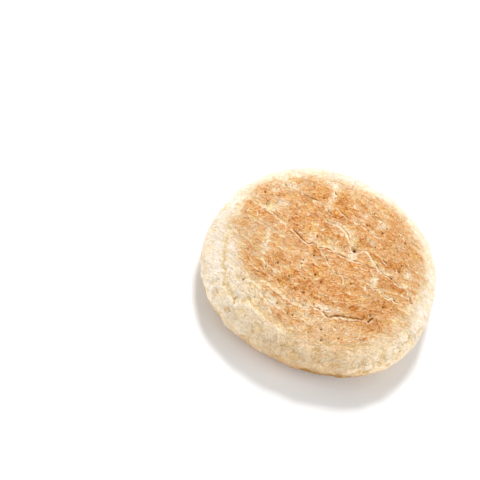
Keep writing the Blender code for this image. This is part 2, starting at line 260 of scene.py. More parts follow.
# Soft grooves: (depth, half width, fade at the ends, points that the groove passes)
GROOVES = (
    (1.15, 2.0, 4.0, ((-48.2, -4), (-48, -9), (-47, -15), (-45.6, -20), (-43.8, -25), (-41.3, -30),
                      (-38.6, -34.6), (-35, -38.8), (-32.2, -42), (-30.8, -46))),
    (0.45, 1.2, 3.0, ((-42, -18), (-40, -24), (-36.5, -29.5), (-32, -33), (-26, -35.5))),
    (0.40, 1.4, 3.0, ((-28, -39), (-20, -43.5), (-10, -46), (2, -47))),
    (0.40, 1.2, 3.0, ((10, -47), (20, -45), (29, -40.5), (35, -36))),
    (0.45, 1.3, 3.0, ((40, -22), (44, -15), (46.5, -7), (47.6, 2), (47, 10))),
)

# Depth of a pore, its mouth and the calm skin round it, as shares of its radius.
PORE_DEPTH, PORE_MOUTH, PORE_CALM = 1.3, 1.15, 1.7
SMALL_PORES = (70, 0.22, 0.34, 31)     # scattered by rule: (how many, least radius, largest radius, seed)

# ------------ flakes, wrinkles and grain of the skin
SIDE_SHIFT = (0.8, 0.6)     # how the flakes' pattern moves with height, so that it changes down the sides
GRAIN_BEND = 55.0           # the grain is straight across the middle and curves with the outline away from it
STRAIGHTER = 0.8            # but by this share less behind and left of the middle, from these distances on
STRAIGHT_BEHIND, STRAIGHT_LEFT = 15.0, 20.0
# How the grain wanders: (wavelength, seeds, widths along and across it)
GRAIN_WANDER = ((7.0, (71, 75), (1.6, 1.0)), (2.4, (78, 82), (0.6, 0.35)))
FLAKES = ((8.5, 5.5, 0.50, 41), (3.6, 2.3, 0.28, 47))       # (length, width, height, seed)
FLAKE_SCATTER = 0.42        # how far a flake's middle may lie from its place in the pattern
FLAKE_TILT, TILT_SPREAD, CROSS_TILT, FLAKE_LEVEL = 0.9, 0.7, 0.5, 0.45
FLAKE_SOFTNESS = 0.08
# A flake's border: a pale edge with a painted highlight, and a crease of painted shade.
FLAKE_LINE, FLAKE_PALE_LIT_EDGE, FLAKE_CREASE_SHADE = 0.28, 0.65, 0.55     # width and strengths of its border's lines
FLAKE_STEP = (0.1, 0.8)     # the lines are drawn where the step to the next flake is higher than these
FLAKES_SHOWN, LINES_SHOWN = (-0.7, 0.3), (-0.25, 0.45)      # limits of the noises that choose their places
WRINKLES = ((2.9, 1.5, 0.24, 51), (1.5, 1.0, 0.18, 54))     # (length, width, height, seed)
GRAIN = ((3.2, 0.10, 57), (1.0, 0.13, 61))
RIM_LUMPS = ((8.0, 0.60, 63), (3.6, 0.20, 66))
RIM_WRINKLES = ((2.8, 2.3, 0.26, 68), (1.4, 1.1, 0.26, 71)) # (size round the rim, size down it, height, seed)
# The skin is calmer in a band across the face: its middle, the least share of folds there, its half width.
CALM_LEVEL, LEAST_ROUGH, CALM_REACH = -3.0, 0.25, 14.0
MIDDLE_ROUGH, CALM_BORDER, CALM_WAVES = 0.55, (5.0, 14.0), ((9.0, 5.0, 85),)
FOOT_RISE, FOOT_WAVES = 0.12, ((13.0, 0.45, 93), (3.0, 0.12, 96))
FOOT_FLAKES, FOOT_FLAKE_HEIGHT = (9.0, 6.0, 90), 0.10

# ------------ browning, and the crust's painted shade and highlights
# How far from the middle the griddle browned the face: (direction in degrees, distance).
FACE_REACH = (
    (0, 45.8), (15, 46.8), (30, 48.8), (60, 48.6), (75, 46.5), (90, 46.0), (105, 46.0), (120, 47.5),
    (135, 48.5), (150, 48.5), (165, 47.0), (180, 47.0), (195, 45.5), (207, 43.5), (222, 42.5), (235, 42.5),
    (255, 44.2), (270, 44.7), (285, 46.0), (300, 48.5), (320, 49.8), (335, 48.8), (350, 46.4), (360, 45.8),
)
FACE_EDGE = 5.2             # half the width over which it fades
REACH_WAVES = ((6.0, 2.2, 101), (2.4, 2.2, 104))
PROUD_REACH = 1.6           # skin that stands proud is browned this much further out
# Browning of the griddled face: its mean, and what swells, flakes and chance change.
FACE_TONE, SWELL_TONE, FLAKE_TONE, LEAST_FACE_TONE = 0.57, 0.09, 0.15, 0.12
TONE_WAVES = ((6.0, 0.05, 107), (2.2, 0.03, 110), (1.05, 0.05, 113))
# Leaning sides brown less: partly unbrowned skin, partly a painted highlight on those facing the key light.
PALE_TONE = 0.25            # how much less the leaning sides of folds and flakes brown
LEANING, SHEER = (0.02, 0.16), (0.12, 0.28)     # between these leanings a side grows pale, then brown
# Browning of the rim: its mean, and the painted shade that its hollows and dents add.
RIM_TONE, RIM_HOLLOW_SHADE, RIM_DENT_SHADE = 0.06, 0.06, 0.05
RIM_TONE_WAVES = ((5.0, 0.05, 116),)
# Sides of the rim, as a direction in degrees and the width over which it fades.
FRONT, DARKEST, LOWER_FRONT = (-76.0, 42.0), (-63.0, 25.0), (-90.0, 60.0)
# The front and lower front of the rim, turned from the key light, are browner: own browning and painted
# shade.
FRONT_BROWNING_AND_SHADE = 0.24
LOWER_BROWNING_AND_SHADE, LOWER_SIDE = 0.16, (5.0, 14.0)      # the lower front is browner up to between these heights
FOOT_TONE, FOOT_BAND = 0.34, (1.0, 5.0)         # and the foot's brown comes this far up the rim, all round
FOOT_BAND_WAVES = ((5.0, 1.2, 131),)
# Painted shadow: a darker band low on the front, where the rim turns under away from the light: its
# strengths, and the heights and distances where it ends.
FRONT_SHADOW, DARKEST_SHADOW = 0.323, 0.456
LOW_SHADOW, DARKEST_LIFT = (3.8, 10.0), 4.2
LOW_SHADOW_END = (40.0, 46.0)
LOW_SHADOW_WAVES, SHADOW_MOTTLE = ((4.0, 1.4, 122), (1.6, 0.8, 125)), ((1.3, 0.3, 128),)
# Where the painted shade in the skin's small hollows shows: the limits and the noise that choose it.
HOLLOW_SHADE_SHOWN, HOLLOW_SHADE_WAVES = (-0.2, 0.6), ((2.5, 1.0, 119),)
NEAR_STEPS, FAR_STEPS = 5, 60       # how often heights are averaged to tell flakes and swells apart
TOASTED_STRENGTH, PALE_STRENGTH = 0.68, 1.1
# Ovals that change the browning of the face.
TOASTED_PATCHES = (
    # Left, behind the middle.
    (-13, 33, 4.2, 3.4, 0.25, -30), (-14, 28.3, 2.5, 1.2, 0.22), (-3, 34, 4.2, 3.2, 0.25),
    (-2.5, 29, 3.3, 2.8, 0.3), (1, 26.1, 2.8, 1.2, 0.38), (-2.8, 22.5, 3.6, 2, 0.4, -20),
    (-25, 26, 2.4, 1.8, 0.14), (-29.5, 22.3, 3.2, 1.5, 0.14), (-36.8, 19, 1.9, 2.6, 0.28),
    (-42.5, 21.8, 3, 2, 0.18), (-24, 17, 2.2, 2.6, 0.15, 20), (-19.5, 13, 2.8, 3.4, 0.22, -30),
    (-13, 16.2, 2.4, 1.6, 0.28), (-7.3, 14.3, 2.6, 0.9, 0.25), (-3, 11.5, 5.5, 2.4, 0.16, -8),
    (1.5, 10.6, 3, 1, 0.2), (-14.5, 8, 2.2, 2.2, 0.14), (-16.5, 4.7, 4.8, 1.3, 0.34, -18),
    (-21, 3.2, 1.6, 1.6, 0.22), (-25, 3, 2.2, 1.6, 0.1), (-30.8, 5.6, 2.3, 1.5, 0.14, -20),
    (-34.8, 6, 1.6, 2.2, 0.12), (-39.5, 3.5, 2.4, 1.6, 0.1), (-28, 11.5, 1.6, 2.2, 0.18, -30),
    (-2.3, 5.8, 1.8, 0.7, 0.22), (-27.3, 37, 1.6, 2.3, 0.2), (-20.5, 35.5, 2.5, 2, 0.12),
    (-21.5, 31, 3, 2, 0.12),
    # Right, behind the middle.
    (6.5, 35.5, 3.2, 1, 0.16, -5), (6, 31.5, 2, 1.6, 0.1), (14, 31.8, 4, 0.7, 0.22, -5),
    (6.6, 27.8, 1.8, 1.6, 0.18), (14, 25.1, 2.8, 0.9, 0.32), (19, 24.5, 2, 0.8, 0.24),
    (23.8, 25, 3, 2.8, 0.2), (29.2, 28.8, 1.8, 1, 0.3, -10), (33, 24.5, 2.4, 1, 0.28, -50),
    (36.5, 22.4, 2, 0.7, 0.22), (23.7, 33.8, 1.4, 1.2, 0.34, -45), (28, 37.7, 3.2, 1.8, 0.22, -15),
    (36, 19, 1.6, 1.8, 0.16, -40), (24.5, 17.5, 2.2, 2.6, 0.14, -40), (13.5, 15.2, 1.4, 2.2, 0.16, -30),
    (20.5, 10, 5.4, 1.6, 0.32, -24), (27.5, 7.8, 2.8, 1.2, 0.42, -10), (33.2, 8, 2.9, 1.4, 0.4, -5),
    (43, 5, 1.6, 1, 0.26, 20), (42.5, 10, 1.6, 1.6, 0.1), (28.3, 14.3, 3, 2, 0.14, -35),
    (36, 11.5, 2.2, 1.4, 0.14),
    # Left, in front of the middle.
    (-5.2, -3, 3, 1.8, 0.34, -25), (-13.8, -2.5, 2.4, 1.6, 0.16), (-12.6, -12, 1.2, 3, 0.3),
    (-20.3, -13.2, 3.2, 2.4, 0.26), (-24.5, -8.6, 2, 1.4, 0.14), (-25, -16, 1.4, 1.3, 0.14),
    (-21.6, -20.3, 1.3, 1.4, 0.18), (-3, -12, 2.8, 1.8, 0.28), (-1.4, -14.8, 1.0, 1.2, 0.4),
    (-10.5, -18.7, 2.4, 1, 0.22), (-5, -22.5, 4, 2.4, 0.28, -10), (-7, -27, 1.4, 0.9, 0.42),
    (-3.2, -27.2, 1.3, 0.8, 0.4), (0.5, -26.8, 1.3, 0.8, 0.3), (-10, -25.5, 1.3, 1.2, 0.25),
    (-15.5, -25.5, 2, 1, 0.32), (-22.8, -26.6, 2, 1.2, 0.25, -20), (-27, -23.7, 1.8, 1, 0.34, -15),
    (-27.3, -21.3, 1.1, 0.9, 0.22), (-33, -21.3, 1.6, 2, 0.22, -40), (-36, -18.5, 2.5, 1.6, 0.1),
    (-32.5, -13.5, 2.6, 2.2, 0.12), (-34, -8, 2.4, 1.6, 0.12), (-41.8, -3, 1.8, 1.4, 0.16),
    (-33.5, -4.5, 1.8, 1, 0.12), (-25, -1.8, 4.5, 0.9, 0.22, -8), (-8.8, -42.4, 1.4, 1.2, 0.4),
    (-7.2, -39, 1.9, 1.1, 0.34), (-3.5, -42, 2.2, 2.2, 0.24), (-1, -42.5, 1.5, 1.5, 0.22),
    (-13, -41, 1.6, 1, 0.2), (-12, -37.5, 1, 1, 0.25), (-15, -35, 1.6, 1, 0.25),
    # Right, in front of the middle.
    (12, 12.5, 3.4, 3, 0.14), (13, -2.7, 2, 2, 0.30, -45), (1, -8.4, 1.3, 1, 0.28),
    (9.8, -12.2, 2.4, 1.4, 0.24, -20), (19, -14, 1.6, 2, 0.28), (15.7, -11.3, 1.2, 0.8, 0.22),
    (2.4, -17.6, 0.9, 1.9, 0.28), (5.5, -24, 3.8, 0.8, 0.38), (3.2, -27.3, 1.8, 0.8, 0.36),
    (15, -22.8, 2.2, 0.8, 0.32, 10), (21, -24.6, 1.8, 2, 0.28), (27, -25.8, 2.2, 2, 0.38),
    (33.9, -26, 1.8, 2.2, 0.24, -20), (34, -15.7, 1.9, 1.1, 0.34), (27.5, -15.3, 2.6, 1.2, 0.25, 15),
    (29, -20, 2.4, 2, 0.18), (38, -17.6, 1, 0.7, 0.28), (34.3, -2.7, 2.2, 2, 0.34, -45),
    (39, -3, 1.8, 1.8, 0.28), (29.6, -3.6, 1.8, 1.6, 0.16), (35, -12.6, 2.6, 1, 0.16),
    (25.6, -12, 1, 1.6, 0.16), (14, -21.5, 18, 5.5, 0.11), (16, -38, 1.5, 0.9, 0.34, -20),
    (14, -42.4, 1.4, 1.6, 0.45, -30), (17.6, -43.3, 0.9, 0.9, 0.32), (21, -41.5, 1.2, 1, 0.22),
    (30.2, -32.2, 1.7, 2, 0.14),
)
PALE_PATCHES = (
    # Left, behind the middle.
    (-28.5, 30.5, 5, 3.6, -0.34, 20), (-8.4, 34, 8, 1.5, -0.4, 93), (-13, 26, 4, 0.9, -0.35),
    (-35, 24.5, 2.4, 1.8, -0.28), (-30, 17.5, 5, 2.2, -0.3), (-37, 10.8, 4.5, 1.6, -0.5, -20),
    (-33, 13, 3, 2.4, -0.28), (-22.3, 21.5, 1.6, 1.8, -0.18), (-10.4, 13, 1.4, 0.9, -0.35),
    (-10, 5, 1.6, 3.2, -0.26), (-3, 3.4, 4.5, 2, -0.10), (-25.5, 6, 3.4, 1, -0.38, -5),
    (2, 17, 7, 1.8, -0.38, -10), (-41.5, 17, 2.5, 2, -0.22), (-33.5, 34, 3, 3.5, -0.32),
    (-12, 41.5, 5, 2, -0.3, -10), (4, 42, 22, 7, -0.07), (-30, 1, 12, 9, -0.07), (3, 8, 7, 7, -0.14),
    # Right, behind the middle.
    (1.5, 38.8, 3, 1.4, -0.18), (17, 34.8, 5, 1.1, -0.24, -5), (19, 30.5, 2.6, 1.8, -0.4, -20),
    (19, 27.5, 2.4, 1.2, -0.3), (10, 29.8, 1.4, 3, -0.22), (16.2, 22, 2, 1.4, -0.28, -30),
    (17.3, 16.3, 1.2, 1.6, -0.28, -60), (6.5, 13.5, 4.5, 1, -0.3, -50), (11.3, 3.6, 1.7, 3, -0.36),
    (23, 4, 3.5, 1, -0.38, -35), (26.8, 4, 2.6, 1.8, -0.32, -30), (39, 7, 2, 2.2, -0.38),
    (39.5, 1, 1.6, 1.4, -0.28), (4, 4, 4.5, 2.4, -0.06), (9.5, 14, 1.6, 3.4, -0.14),
    (31, 3.4, 3, 1.6, -0.2), (6.5, 23.8, 2, 1.2, -0.28, -20),
    # Left, in front of the middle.
    (-28, -9, 12, 7, -0.08), (-37, -5, 4, 6, -0.12), (-8, -4, 7, 4, -0.16), (12, 3.5, 4, 3, -0.10),
    (-14, -39, 5, 4, -0.20), (13, -41, 4, 4, -0.16), (-28.6, -10, 8, 1.4, -0.36, -83),
    (-9, -11.5, 1.4, 3.2, -0.34), (-25, -20.8, 2.8, 0.9, -0.38, -50), (-19, -22.3, 1.8, 1.2, -0.34),
    (-19.5, -8.3, 2, 1, -0.22), (-22, -30, 2.6, 1.4, -0.28), (-18, -36.0, 4, 2, -0.30, -25),
    (-14.5, -38, 2.5, 1.6, -0.20, -20), (-15, -17.3, 2, 1, -0.16), (-43, -20, 12, 5, -0.5, -68),
    (-30, -36, 10, 5, -0.45, -35), (-24, -33, 3, 1.2, -0.3),
    # Right, in front of the middle.
    (25.3, -5, 1.5, 4, -0.5), (28.5, -8.7, 1.6, 0.8, -0.28), (33.5, -9.8, 3, 0.7, -0.32),
    (41, 3, 6, 14, -0.05), (22.3, -10.8, 1.8, 0.9, -0.34), (23.2, -16.5, 1.2, 2.4, -0.24),
    (9, -30.3, 3.4, 1.4, -0.5, 5), (14, -28.8, 1.6, 1, -0.3), (3, -32.4, 4.5, 1.2, -0.3),
    (2.6, -6.6, 2.8, 0.8, -0.25, -50), (4, -38, 17, 4.5, -0.20, 4), (28, -35, 8, 4, -0.10, 28),
    (42, -33, 4, 3, -0.14, 45), (41, -20, 3, 4, -0.2),
)


def to_linear(red, green, blue):
    """A colour read off the picture, 0 to 255, as the light it stands for."""
    value = np.array([red, green, blue]) / 255.0
    return (*np.where(value <= 0.04045, value / 12.92, ((value + 0.055) / 1.055) ** 2.4), 1.0)


# From raw dough to the darkest toast: (browning, colour).
TOAST_COLOURS = (
    (0.00, to_linear(254, 243, 232)),
    (0.15, to_linear(245, 225, 194)),
    (0.30, to_linear(234, 205, 166)),
    (0.46, to_linear(230, 184, 134)),
    (0.66, to_linear(221, 161, 98)),
    (0.84, to_linear(205, 131, 65)),
    (1.00, to_linear(166, 92, 28)),
)
# The pale edges of folds and flakes: paler skin with a painted highlight where they catch the light.
PALE_LIT_EDGE_COLOUR, PALE_LIT_EDGE_STRENGTH = to_linear(255, 237, 208), 0.92
# Painted shade for creases, pores, small hollows, the low front band and the lines between scales.
RIM_CREASE_SHADE, FACE_CREASE_SHADE = to_linear(174, 126, 54), to_linear(152, 90, 30)
CREASE_BROWNING, CREASE_SHARE = 1.4, 0.97   # how soon a crease takes the face's colour, and how much it shows
PORE_SHADE_COLOUR, PORE_CREASE = to_linear(112, 46, 6), (0.84, 0.97)      # only the deepest creases have it
CLEAN_LINES = (0.12, 0.82)      # edges and creases are made steeper between these, for clean sides
GOLDEN_TINT, RIM_GOLDEN, FACE_GOLDEN = (1.05, 1.02, 0.70, 1.0), 1.3, 2.0
ROSY_TINT, ROSY = (1.0, 0.95, 0.98, 1.0), 3.0
# Painted shade in hollows and low places: a dull yellow tint, its strength, and how much noise mottles it.
OLIVE_SHADE_TINT, OLIVE_SHADE, OLIVE_SHADE_MOTTLE = (0.96, 0.87, 0.58, 1.0), 0.6, 0.5

# ------------ fine tones and grain of the crust
# Noises of the material: (scale to a metre, detail, roughness)
FINE_NOISE, GRIT_NOISE = (1300.0, 2.0, 0.7), (1700.0, 1.0, 0.5)
MEDIUM_NOISE, PATCHY_NOISE = (420.0, 3.0, 0.6), (170.0, 2.0, 0.6)
ALONG_GRAIN = (0.9, 1.05, 1.0)      # how much tighter the noises lie along and across the skin's grain
LARGE_SCALES, SMALL_SCALES = 300.0, 620.0       # the skin's small scales: how many to a metre
SCALE_STRETCH, SCALE_WANDER = (1.0, 1.0, 0.9), 0.9
# Strengths: on the rim, and how much more on the griddled face.
FINE_TONE, GRIT_TONE, MEDIUM_TONE, SCALE_TONE = (0.26, 0.22), (0.42, 0.24), (0.10, 0.08), (0.02, 0.05)
# The dark lines between scales are painted shade.
SCALE_SHADE_LINES, BUMP_STRENGTH = (0.40, 0.04), (1.08, 0.12)
LARGE_LINE, SMALL_LINE = 0.07, 0.10     # widths of the dark lines between scales
BREAKING_NOISE, LINES_KEPT, BROKEN_SHARPNESS = (260.0, 1.0), 0.12, 2.4  # and the noise that breaks them off
SPECK_NOISE, SPECK_LEVEL, SPECK_STRENGTH = (1050.0, 1.0, 0.5), 0.15, 6.3
BUMP_HEIGHT, BUMP_SHARE = 0.0005, 0.9
DOME_RELIEF, LARGE_DOME, SMALL_DOME, SMALLER_DOMES = 0.4, 0.10, 0.12, 0.6
STEP_RELIEF, SMALLER_STEPS = 0.9, 0.7
GRIT_RELIEF, MEDIUM_RELIEF = 0.6, 0.8
ROUGHNESS, ROUGHNESS_SPREAD, GLOSS = 0.72, 0.2, 0.12
FLOOR_COLOUR, FLOOR_ROUGHNESS = (0.9, 0.9, 0.9, 1.0), 0.6

# ------------ floor and light, in metres
FLOOR_HALF = 3.0
WHITE = (1.0, 1.0, 1.0)
# (name, azimuth, elevation, distance, width, watts, colour)
LIGHTS = (
    ("key", 105.0, 50.0, 1.1, 0.30, 11.3, (1.0, 0.98, 0.985)),
    ("left", 195.0, 14.0, 1.1, 0.9, 8.4, WHITE),
    ("right", -8.0, 18.0, 1.1, 0.9, 11.5, WHITE),
    ("front", 262.0, 22.0, 1.3, 1.0, 2.5, WHITE),
)
SKY_STRENGTH = 0.30

# ------------ the photograph's view
PICTURE_SIZE = 480.0
VIEW_TILT = 38.0                    # degrees between the view and the bread's axis
VIEW_ROLL = 23.46                   # degrees that the picture is turned
VIEW_DISTANCE = 750.0
PICTURE_SCALE = 120.0 / RADIUS      # pixels to a millimetre at the bread
BREAD_IN_PICTURE = (321.2, 266.4)   # pixel of the bread's middle
BREAD_MIDDLE = 12.0                 # its height above the foot
SENSOR = 36.0


# ============ random numbers and noise
def grid_random(cell, seed):
    """A repeatable random number from -1 to 1 for each whole-number grid point (rows of x, y, z)."""
    mixed = cell[:, 0] * 73856093 ^ cell[:, 1] * 19349663 ^ cell[:, 2] * 83492791 ^ seed * 2654435761
    mixed = (mixed ^ mixed >> 13) * 1274126177 & 0xFFFFFFFF
    mixed = (mixed ^ mixed >> 15) * 2246822519 & 0xFFFFFFFF
    return (mixed ^ mixed >> 16) / 0x7FFFFFFF - 1.0


def noise(points, seed):
    """Smooth noise, mostly within -1 to 1, whose features are about one unit across."""
    cell = np.floor(points).astype(np.int64)
    part = points - cell
    ease = part * part * part * (part * (part * 6.0 - 15.0) + 10.0)
    total = np.zeros(len(points))
    for corner in np.ndindex(2, 2, 2):
        corner = np.array(corner)
        weight = np.prod(np.where(corner, ease, 1.0 - ease), axis=1)
        slope = sum(grid_random(cell + corner, seed + axis) * (part - corner)[:, axis] for axis in range(3))
        total += weight * slope
    return total * 1.5


def noise_pair(points, seeds, widths):
    """Two noises side by side, as a shift along x and y."""
    return np.stack([noise(points, seed) for seed in seeds], 1) * widths


def uneven(point, waves):
    """Several noises added up: (wavelength, height, seed)."""
    return sum(height * noise(point / wavelength, seed) for wavelength, height, seed in waves)


def smoothstep(low, high, value):
    t = np.clip((value - low) / (high - low), 0.0, 1.0)
    return t * t * (3.0 - 2.0 * t)


def bell(value, middle, width):
    """1 where the value is at the middle, falling smoothly to 0 on both sides."""
    return np.exp(-((value - middle) / width) ** 2)


# ============ the plain form
def outline_radius(angle):
    """Radius of the widest level in a direction, in radians from +X."""
    radius = np.full(np.shape(angle), RADIUS)
    for lobes, swell, direction in OUTLINE_LOBES:
        radius = radius + swell * np.cos(lobes * (angle - np.radians(direction)))
    return radius


def meridian(count=2000):
    """The side profile from the top's middle to the foot's: shares of the radius, and heights."""
    across = np.sin(np.linspace(0.0, np.pi / 2, count))
    top = WIDEST_LEVEL + (THICKNESS - WIDEST_LEVEL) * (1.0 - across ** TOP_ACROSS) ** (1.0 / TOP_UP)
    low = WIDEST_LEVEL - UNDERSIDE_DEPTH * (1.0 - across ** LOW_ACROSS) ** (1.0 / LOW_UP)
    share = np.concatenate([across, across[-2::-1]])
    height = np.maximum(np.concatenate([top, low[-2::-1]]), 0.0)
    return share, height


def outward(share, height):
    """Outward direction of the side profile, as (across, up)."""
    if height <= 0.0:
        return 0.0, -1.0
    if height >= WIDEST_LEVEL:
        up = ((height - WIDEST_LEVEL) / (THICKNESS - WIDEST_LEVEL)) ** (TOP_UP - 1) * TOP_UP
        up /= THICKNESS - WIDEST_LEVEL
        across = TOP_ACROSS * share ** (TOP_ACROSS - 1) / RADIUS
    else:
        up = -((WIDEST_LEVEL - height) / UNDERSIDE_DEPTH) ** (LOW_UP - 1) * LOW_UP / UNDERSIDE_DEPTH
        across = LOW_ACROSS * share ** (LOW_ACROSS - 1) / RADIUS
    size = np.hypot(across, up)
    return across / size, up / size


def skin_rings():
    """The skin's rings from the top's middle to the foot's: (share of the radius, height, count, outward)."""
    share, height = meridian()
    run = np.concatenate([[0.0], np.cumsum(np.hypot(np.diff(share) * RADIUS, np.diff(height)))])
    made = []
    at = 0.0
    while at < run[-1]:
        ring_share, ring_height = np.interp(at, run, share), np.interp(at, run, height)
        if ring_height >= WIDEST_LEVEL:
            step = TOP_SPACING
        else:
            step = LOW_RIM_SPACING if ring_height > LOW_RIM_LEVEL else FOOT_SPACING
        count = max(1, round(2 * np.pi * RADIUS * ring_share / step))
        made.append((ring_share, ring_height, count, outward(ring_share, ring_height)))
        at += step * EVEN_TRIANGLE
    made.append((0.0, 0.0, 1, (0.0, -1.0)))
    return made


# ============ the skin's relief
def smooth_route(points):
    """Points along a smooth curve that passes through the given ones (Catmull-Rom)."""
    corner = np.array(points, float)
    corner = np.vstack([2 * corner[0] - corner[1], corner, 2 * corner[-1] - corner[-2]])
    made = []
    for a, b, c, d in zip(corner, corner[1:], corner[2:], corner[3:]):
        steps = max(2, round(np.linalg.norm(c - b) / ROUTE_STEP))
        t = np.arange(steps)[:, None] / steps
        made.append(0.5 * (2 * b + (c - a) * t + (2 * a - 5 * b + 4 * c - d) * t ** 2
                           + (3 * b - a - 3 * c + d) * t ** 3))
    return np.vstack(made + [corner[-2]])


def points_near(skin, near, route, reach):
    """The points of the top that lie no further than a reach from a route's box."""
    return ((near > route.min(0) - reach) & (near < route.max(0) + reach)).all(1) & skin["top"]


def beside_route(place, route, fade_length):
    """For each place: its distance from the route, above zero on the right; 1 along the route, fading to 0 at
    its ends; and how far the route heads to +X there, from -1 to 1."""
    start, step = route[:-1], np.diff(route, axis=0)
    length = np.linalg.norm(step, axis=1)
    apart = place[:, None, :] - start
    along = np.clip((apart * step).sum(2) / length ** 2, 0.0, 1.0)
    gap = np.linalg.norm(apart - along[:, :, None] * step, axis=2)
    nearest = gap.argmin(1)
    row = np.arange(len(place))
    turn = step[nearest, 0] * apart[row, nearest, 1] - step[nearest, 1] * apart[row, nearest, 0]
    travelled = np.concatenate([[0.0], np.cumsum(length)])
    where = travelled[nearest] + along[row, nearest] * length[nearest]
    fade = smoothstep(0.0, fade_length, np.minimum(where, travelled[-1] - where))
    return np.where(turn > 0, -1.0, 1.0) * gap[row, nearest], fade, step[nearest, 0] / length[nearest]


def add_most(values, inside, more):
    """Where both mark a point, the stronger mark stays."""
    values[inside] = np.maximum(values[inside], more)


def add_fold(skin, near, lift, softness, fade_length, points):
    """One fold: a lip on the right of its route, a hollow on its left, a pale edge with a painted highlight
    and a dark crease of painted shade.
    """
    route = smooth_route(points)
    inside = points_near(skin, near, route, FOLD_REACH * LIP_REACH * min(1.0, lift + 0.3))
    side, fade, heading = beside_route(near[inside], route, fade_length)
    gap = np.abs(side)
    lip = lift * np.exp(-gap / (LIP_REACH * np.sqrt(lift)))
    hollow = -lift * HOLLOW_SHARE * np.exp(-gap / (HOLLOW_REACH * np.sqrt(lift)))
    blend = 0.5 + 0.5 * np.tanh(side / softness)
    skin["height"][inside] += fade * (hollow + (lip - hollow) * blend)
    tone = PLATE_TONE * blend * bell(side, *PLATE_LINE)
    tone -= VALLEY_TONE * (1.0 - blend) * np.exp(-gap / VALLEY_REACH)
    skin["tone"][inside] += fade * lift * tone

    weight = fade * min(1.0, LEAST_SHOWN + LIFT_SHOWN * lift)
    shown = skin["shown"][inside]
    edge_shown = np.maximum(smoothstep(*EDGE_SHOWN, shown), TALL_EDGE_SHOWN * lift)
    edge = edge_shown * bell(side, EDGE_PLACE, LINE_WIDTH + EDGE_SPREAD * edge_shown * min(1.0, lift))
    # Painted highlight on the lip's shoulder.
    shoulder_highlight = SHOULDER_HIGHLIGHT * blend * np.exp(-gap / SHOULDER_HIGHLIGHT_REACH)
    add_most(skin["edge"], inside, weight * np.maximum(edge, shoulder_highlight))
    # The crease is painted shade in the hollow, set further back where the lip hides the hollow's foot.
    crease_place = softness + CREASE_PLACE + CREASE_SHIFT * lift * np.maximum(heading, 0.0)
    crease = smoothstep(*CREASE_SHOWN, -shown) * bell(side, -crease_place, LINE_WIDTH + CREASE_SPREAD * lift)
    strength = (CREASE_SHADE_STRENGTH + TALL_CREASE_SHADE_STRENGTH * lift) * min(1.0, SHARP_STEP / softness)
    add_most(skin["crease"], inside, strength * weight * crease)


def drawn_between(draw, limits, power):
    """A random value between two limits, more often near the first one."""
    return limits[0] + (limits[1] - limits[0]) * draw.random() ** power


def small_folds():
    """Short curved folds along the grain, scattered over the face; few on the calm skin across the middle."""
    count, seed = SMALL_FOLDS
    draw = np.random.default_rng(seed)
    made = []
    while len(made) < count:
        reach, angle = SMALL_FOLD_REACH * np.sqrt(draw.random()), 2 * np.pi * draw.random()
        x, y = reach * np.cos(angle), reach * np.sin(angle)
        if draw.random() > LEAST_ROUGH + (1.0 - LEAST_ROUGH) * min(1.0, abs(y - CALM_LEVEL) / CALM_REACH):
            continue
        slope = -2.0 * x * y / GRAIN_BEND ** 2 / (1.0 + (x / GRAIN_BEND) ** 2)
        heading = np.arctan(slope) + SMALL_FOLD_TURN * draw.standard_normal()
        length = drawn_between(draw, SMALL_FOLD_LENGTH, 1.6)
        lift = drawn_between(draw, SMALL_FOLD_LIFT, 1.4)
        along = np.array([np.cos(heading), np.sin(heading)])
        across = np.array([-along[1], along[0]])
        bow = SMALL_FOLD_BOW * np.array([-1.0, 1.0, 1.0, -1.0])
        bends = length * (SMALL_FOLD_BEND * draw.standard_normal(4) + bow)
        steps = length * np.array([-0.5, -0.17, 0.17, 0.5])
        route = [(x, y) + step * along + bend * across for step, bend in zip(steps, bends)]
        made.append((lift, SMALL_FOLD_STEP, SMALL_FOLD_FADE * length, route))
    return made


def add_groove(skin, near, depth, half_width, fade_length, points):
    """A soft valley in the skin along a route."""
    route = smooth_route(points)
    inside = points_near(skin, near, route, 3.0 * half_width)
    side, fade, heading = beside_route(near[inside], route, fade_length)
    skin["height"][inside] -= depth * fade * bell(side, 0.0, half_width)


def oval(place, x, y, half_length, half_width, change, direction=0.0):
    """The whole change in the middle of an oval, falling smoothly to 0 outside it."""
    turn = np.radians(direction)
    apart = place - (x, y)
    along = apart @ (np.cos(turn), np.sin(turn)) / half_length
    across = apart @ (-np.sin(turn), np.cos(turn)) / half_width
    return change * np.exp(-along ** 2 - across ** 2)


def flakes(place, length, width, seed):
    """Flakes of skin that overlap like shingles, their free edges to +Y. Returns height about 0, how much
    higher the flake is than the next one, and the distance to the border between them."""
    u, v = place[:, 0] / length, place[:, 1] / width
    base = np.floor(np.stack([u, v, np.zeros(len(u))], 1)).astype(np.int64)
    gaps, levels = [], []
    for du, dv in np.ndindex(3, 3):
        cell = base + (du - 1, dv - 1, 0)
        along, across, tilt, cross_tilt, level = (grid_random(cell, seed + number) for number in range(5))
        along = u - (cell[:, 0] + 0.5 + FLAKE_SCATTER * along)
        across = v - (cell[:, 1] + 0.5 + FLAKE_SCATTER * across)
        gaps.append(along ** 2 + across ** 2)
        levels.append(FLAKE_LEVEL * level + (FLAKE_TILT + TILT_SPREAD * tilt) * across
                      + CROSS_TILT * cross_tilt * along)
    gaps, levels = np.array(gaps), np.array(levels)
    weight = np.exp(-(gaps - gaps.min(0)) / FLAKE_SOFTNESS)
    height = (weight * levels).sum(0) / weight.sum(0)
    first, second = np.argsort(gaps, axis=0)[:2]
    row = np.arange(len(place))
    border = 0.5 * width * (gaps[second, row] - gaps[first, row])
    return height, levels[first, row] - levels[second, row], border


